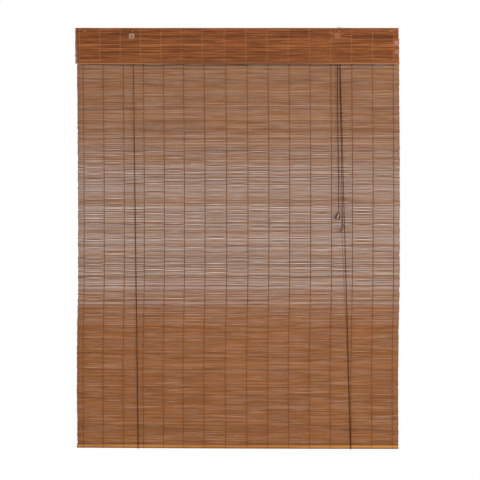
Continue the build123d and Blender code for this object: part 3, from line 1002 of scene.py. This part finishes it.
# %% Thread tree
def at_threads(maker, given, piece, y=0.0, z=0.0):
    """A copy of the piece at each row of thread, laid as this blind lies."""
    places = maker.node("GeometryNodeMeshLine", None, {
        "Count": given["Threads"], "Start Location": maker.vector(given["Thread first"], y, z),
        "Offset": maker.vector(given["Thread pitch"], 0.0, 0.0),
    })
    x, y, z = maker.parts(maker.node("GeometryNodeInputPosition"))
    return move(maker, copies(maker, places, piece), laid(maker, given, x, y, z, z))


apart_on_reed, closer_in_gap = 1.4, 0.8
maker, given = new_tree("strands", [*ROW_FLOATS, "Reach", "Strand radius", "Side"], [*ROW_INTS, "Threads"])
rows = row_nodes(maker, given)
line = maker.node("GeometryNodeMeshLine", None, {"Count": given["Rows"] * 2.0 - 1.0})
row, between = in_groups(maker, 2.0)
here, below = (sampled(maker, rows, "row_z", number) for number in (row, row + 1.0))
z = here * (1.0 - between * 0.5) + below * between * 0.5
swing = (1.0 - (row % 2.0) * 2.0) * given["Side"] * (1.0 - between)
y = given["Middle Y"] + swing * given["Reach"]
x = given["Side"] * given["Strand radius"] * (apart_on_reed - between * closer_in_gap)
strung = move(maker, line, maker.vector(x, y, z))
curve = maker.node("GeometryNodeMeshToCurve", None, {0: rows_asked_for(maker, given, strung, row)})
tubes = at_threads(maker, given, sweep(maker, curve, circle(maker, 4, given["Strand radius"])))
x, y, z = maker.parts(maker.node("GeometryNodeInputPosition"))
marked = store(maker, tubes, "crest", maker.noise(maker.vector(x * 50.0, y * 900.0, z * 600.0)))
strand_tree = end_tree(maker, marked, given["Material"])


# %% Threads of the mat and of the valance
thread_count = 16


def strands(title, material, values, reach, radius, **rows):
    return [
        grow(strand_tree, mesh_object(name + "_grower", bmesh.new()), name, **values, **rows, **{
            "Side": side, "Reach": reach, "Strand radius": radius, "Threads": thread_count, "Material": material,
        })
        for name, side in ((title + "_one", 1.0), (title + "_two", -1.0))
    ]


hung_strands, foot_strands = (
    strands(title, mat_thread_cotton, mat_values, 0.00135, 0.0009, **{"First row": first, "Last row": last})
    for title, first, last in (("mat_strand", 0, foot_first + 1), ("foot_strand", foot_first, mat_rows))
)
valance_strands = strands("valance_strand", valance_thread_cotton, front_values, 0.00125, 0.00043)

# %% [markdown]
# The bottom bar is a planed lath of golden bamboo with rounded edges, and the ends of the mat's threads are tied
# round it. Both follow the same hang as the foot of the mat. The thinner lath along the valance's foot is made the
# same way and lies in front of the rear reeds, which pass behind it.

# %% Planed laths
lath_stations = 49
corner_steps = 3


def rounded_section(half_y, half_z, radius):
    points = []
    for quarter_turn, (side_y, side_z) in enumerate(((1, 1), (-1, 1), (-1, -1), (1, -1))):
        for n in range(corner_steps + 1):
            angle = math.pi / 2 * (quarter_turn + n / corner_steps)
            points.append((
                side_y * (half_y - radius) + radius * math.cos(angle),
                side_z * (half_z - radius) + radius * math.sin(angle),
            ))
    return points


def planed_lath(name, low, high, edge, lift, material):
    middle_y, middle_z = (low.y + high.y) / 2, (low.z + high.z) / 2
    section = rounded_section((high.y - low.y) / 2, (high.z - low.z) / 2, edge)
    grid = bmesh.new()
    rings = []
    for n in range(lath_stations):
        x = low.x + (high.x - low.x) * n / (lath_stations - 1)
        rings.append([grid.verts.new((x, middle_y + y, middle_z + z + lift(x))) for y, z in section])
    skin(grid, rings)
    made = mesh_object(name, grid)
    made.data.materials.append(material)
    print(name, [round(v, 4) for v in made.dimensions])
    return made


# %% Bottom bar and valance lath
bar_edge, lath_edge = 0.0018, 0.0007
bar_proud, bar_deeper = Vector((0.002, 0.0, 0.0)), Vector((0.0, 0.0, 0.0006))
lath_proud, lath_back = 0.0035, -0.0288

bar_under = bar_low - bar_deeper
bar = planed_lath("bar_lath", bar_under - bar_proud, bar_high + bar_proud, bar_edge, hang, bar_golden)

lath_far = Vector((lath_high.x, lath_back, lath_high.z))
lath_near = Vector((lath_low.x - lath_proud, lath_low.y, lath_low.z))
lath = planed_lath("foot_lath", lath_near, lath_far, lath_edge, lambda x: 0.0, lath_golden)

# %% Bindings round the bar and the valance's lath
maker, given = new_tree(
    "bindings", [*PLACE_FLOATS, "Middle Z", "Depth", "Height", "Radius", "Strand radius"], ["Threads"],
)
outline = maker.node("GeometryNodeCurvePrimitiveQuadrilateral", None, {
    "Width": given["Depth"], "Height": given["Height"],
})
outline = maker.node(
    "GeometryNodeFilletCurve", {"mode": "POLY"},
    {"Curve": outline, "Count": 4, "Radius": given["Radius"], "Limit Radius": True},
)
loop = maker.node("GeometryNodeTransform", None, {
    "Geometry": sweep(maker, outline, circle(maker, 6, given["Strand radius"])),
    "Rotation": (math.pi / 2, 0, math.pi / 2),
})
binding_tree = end_tree(
    maker, at_threads(maker, given, loop, given["Middle Y"], given["Middle Z"]), given["Material"],
)


def tied_round(name, low, high, edge, strand_radius, values, material):
    return grow(binding_tree, mesh_object(name + "_grower", bmesh.new()), name, **{
        "Depth": high.y - low.y + 2 * strand_radius, "Height": high.z - low.z + 2 * strand_radius,
        "Radius": edge + strand_radius, "Strand radius": strand_radius,
        "Middle Y": (low.y + high.y) / 2, "Middle Z": (low.z + high.z) / 2, "Sway": 1.0,
        "Thread first": values["Thread first"], "Thread pitch": values["Thread pitch"],
        "Threads": thread_count, "Material": material,
    })


bindings = tied_round("bar_bindings_tied", bar_under, bar_high, bar_edge, 0.0006, mat_values, mat_thread_cotton)
lath_ties = tied_round(
    "lath_ties", lath_low, lath_far, lath_edge, 0.0003, valance_values, valance_thread_cotton,
)

# %% [markdown]
# The bell pulls are turned from beech and lacquered: one outline, spun round the cord's line. An overhand knot
# holds each one.

# %% Bell pulls
bell_outline = [
    (0.0017, 0.0), (0.0030, 0.0), (0.0038, -0.0007), (0.0039, -0.0016), (0.0034, -0.0026),
    (0.0036, -0.0036), (0.0046, -0.0060), (0.0055, -0.0085), (0.0067, -0.0125), (0.0079, -0.0170),
    (0.0093, -0.0225), (0.0101, -0.0255), (0.0105, -0.0266), (0.0104, -0.0277), (0.0098, -0.0285),
    (0.0052, -0.0285), (0.0049, -0.0279), (0.0045, -0.0225), (0.0017, -0.0222),
]
bell_turns = 40


def turned(name, place, tilt):
    grid = bmesh.new()
    angles = [math.tau * n / bell_turns for n in range(bell_turns)]
    skin(grid, [
        [grid.verts.new((r * math.cos(angle), r * math.sin(angle), z)) for r, z in bell_outline]
        for angle in angles
    ], all_round=True)
    grid.transform(Matrix.Translation(place) @ Matrix.Rotation(tilt, 4, "Y"))
    for face in grid.faces:
        face.smooth = True
    made = mesh_object(name, grid)
    made.data.materials.append(bell_wood)
    print(name, "has", len(made.data.polygons), "faces")
    return made


short_tilt = math.radians(12)
left_bell = turned("left_bell", long_bell_top, 0.0)
right_bell = turned("right_bell", short_bell_top, short_tilt)


# %% Knots
knot_points, knot_opening = 13, 0.5
knot_reach, knot_rise, knot_drop = 0.00062, 0.0009, 0.0247
knot_radius, knot_step = 0.00105, 0.0008


def knot(name, place, tilt):
    points = []
    for n in range(knot_points):
        t = math.tau * n / knot_points + knot_opening
        points.append(Vector((
            knot_reach * (math.sin(t) + 2 * math.sin(2 * t)),
            knot_reach * (math.cos(t) - 2 * math.cos(2 * t)),
            knot_rise * math.sin(3 * t) - knot_drop,
        )))
    turn = Matrix.Translation(place) @ Matrix.Rotation(tilt, 4, "Y")
    return twisted_piece(name, [turn @ point for point in points], knot_radius, knot_step)


left_knot = knot("left_knot", long_bell_top, 0.0)
right_knot = knot("right_knot", short_bell_top, short_tilt)

# %% [markdown]
# What the CAD already has right keeps its shape and gets its finish here: the head rail, the plates, the nails,
# the wheels, the bent frames, their pins and screws, the staples and the cam.

# %% Finishes of the CAD pieces
FINISHES = {
    "head_rail": rail_wood, "valance_nails": nail_metal,
    "fixing_plate_left": plate_metal, "fixing_plate_right": plate_metal,
    "guide_wheel": nylon, "front_sheave": nylon, "rear_sheave": nylon, "lock_cam": cam_metal,
    **dict.fromkeys((
        "mat_staples", "cord_staples", "guide_frame", "guide_screws", "guide_pin",
        "lock_frame", "lock_screws", "sheave_pin", "cam_pin",
    ), steel),
}
for name, material in FINISHES.items():
    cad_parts[name].data.materials.clear()
    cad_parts[name].data.materials.append(material)
print(len(FINISHES), "CAD pieces finished")

# %% [markdown]
# Last, each piece is tied to a body of the frame. The mat, its threads, the valance and the two cord loops hang
# from the head; the real mat and loops roll up as the bar rises. The mat's last reeds ride on the bar that they
# are tied to.
# Each loop gets a short piece at its staple, which stays on the head, and each bell rides with its knot on its
# pull.

# %% What moves with what
def follow(piece, body, slot_name, *replaced):
    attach(piece, body)
    if replaced:
        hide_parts(*replaced)


RIDING = [
    *((piece, "head", "mat_reed", "reed_mat") for piece in hung_reeds),
    *((piece, "head", "mat_thread", "warp_threads") for piece in hung_strands),
    (foot_reeds, "bar", "mat_reed"),
    *((piece, "bar", "mat_thread") for piece in foot_strands),
    (left_loop, "head", "cord", "left_cord_loop"),
    (right_loop, "head", "cord", "right_cord_loop"),
    (front_layer, "head", "valance_reed", "valance_front_layer"),
    (rear_layer, "head", "valance_reed", "valance_rear_layer"),
    *((piece, "head", "valance_reed") for piece in cover_pieces),
    *((piece, "head", "valance_thread", "valance_threads") for piece in valance_strands),
    (lath_ties, "head", "valance_thread"),
    (lath, "head", "golden_lath", "valance_lath"),
    (bar, "bar", "golden_lath", "bottom_bar"),
    (bindings, "bar", "mat_thread", "bar_bindings"),
    (left_bell, "left_pull", "bell_wood", "left_pull_bell"),
    (left_knot, "left_pull", "cord", "left_pull_knot"),
    (right_bell, "right_pull", "bell_wood", "right_pull_bell"),
    (right_knot, "right_pull", "cord", "right_pull_knot"),
]
for row in RIDING:
    follow(*row)
print(len(RIDING), "pieces ride on a body")

# %% Own meshes, and the stapled ends of the loops
end_share = 1.05

for piece in (*hung_reeds, *hung_strands):
    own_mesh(piece)


def gather(loop, top, bar_x, anchor_x, end_name):
    """A loop gets its own mesh and a short end at its staple, which stays where it is."""
    low = loop_bottom + hang(bar_x)
    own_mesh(loop)
    slant = (bar_x - anchor_x) * ((anchor_z - top[2]) / (anchor_z - low))
    end = twisted_piece(end_name, [
        (anchor_x, loop_rear, anchor_z),
        (anchor_x + slant / 2, loop_rear, (anchor_z + top[2]) / 2),
        (anchor_x + slant, loop_rear, top[2]),
    ], cord_radius * end_share)
    follow(end, "head", "cord")


gather(left_loop, left_top, left_bar_x, left_anchor_x, "left_stapled_end")
gather(right_loop, right_top, right_bar_x, right_anchor_x, "right_stapled_end")

# %% What turns from a wheel down to a bell
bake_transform(left_pull)
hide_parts("left_head_run", "left_pull_cord")
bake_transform(right_pull)
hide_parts("right_head_turn", "right_pull_cord")
print("both pull lines stretch from head to bell")

# %% Cord lengths
for piece, line, length, far_end, lay, on_cord in (
    (left_loop, left_loop_line, 3.03, "object", "taut", ()),
    (right_loop, right_loop_line, 3.03, "object", "taut", ()),
    (left_pull, left_pull_line, 1.44, "knot", "hanging", [left_bell, left_knot]),
    (right_pull, right_pull_line, 0.64, "knot", "hanging", [right_bell, right_knot]),
):
    print(piece.name, "is a cord of", length, "m")
